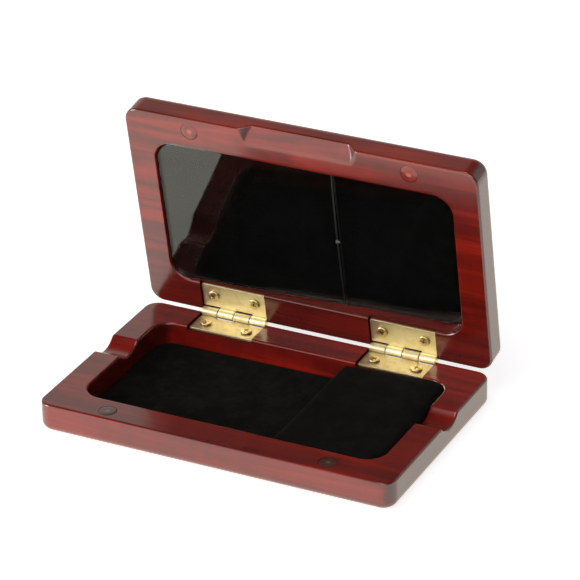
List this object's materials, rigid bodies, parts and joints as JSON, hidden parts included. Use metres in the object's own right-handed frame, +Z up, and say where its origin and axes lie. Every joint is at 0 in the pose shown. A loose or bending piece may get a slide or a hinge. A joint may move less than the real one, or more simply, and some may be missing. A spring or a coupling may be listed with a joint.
{
  "type": "reed case",
  "caption": "Hinged lacquered wooden case for instrument reeds: pocketed tray with raised velvet pad, and a lid holding a glass plate with an elastic across it.",
  "frame": {"origin": "middle of the tray's flat underside", "axes": "+X along the length, to the right as seen from the front; +Y to the hinges at the back; +Z up"},
  "size_m": [0.128, 0.0891, 0.0903],
  "materials": {
    "wood": "high-gloss cherry-red lacquer over fine straight grain",
    "velvet": "black short-pile velvet",
    "brass": "bright brushed brass",
    "glass": "clear polished plate glass",
    "elastic": "thin black covered elastic",
    "magnet": "disc magnet under clear lacquer"
  },
  "bodies": {
    "base": {"base_tray": "wood", "base_floor_lining": "velvet", "base_raised_pad": "velvet", "base_magnet_left": "magnet", "base_magnet_right": "magnet", "hinge_left_base_leaf": "brass", "hinge_left_pin": "brass", "hinge_left_base_screw_1": "brass", "hinge_left_base_screw_2": "brass", "hinge_right_base_leaf": "brass", "hinge_right_pin": "brass", "hinge_right_base_screw_1": "brass", "hinge_right_base_screw_2": "brass"},
    "lid": {"lid_shell": "wood", "lid_backing_lining": "velvet", "glass_plate": "glass", "elastic_cord": "elastic", "cord_knot": "elastic", "lid_magnet_left": "magnet", "lid_magnet_right": "magnet", "hinge_left_lid_leaf": "brass", "hinge_left_lid_screw_1": "brass", "hinge_left_lid_screw_2": "brass", "hinge_right_lid_leaf": "brass", "hinge_right_lid_screw_1": "brass", "hinge_right_lid_screw_2": "brass"}
  },
  "joints": [
    {"name": "lid_hinge", "type": "hinge", "parent": "base", "child": "lid", "pos_m": [0, 0.04007, 0.0104], "axis": [-1, 0, 0], "range_deg": [-79.7, 100.3]}
  ]
}
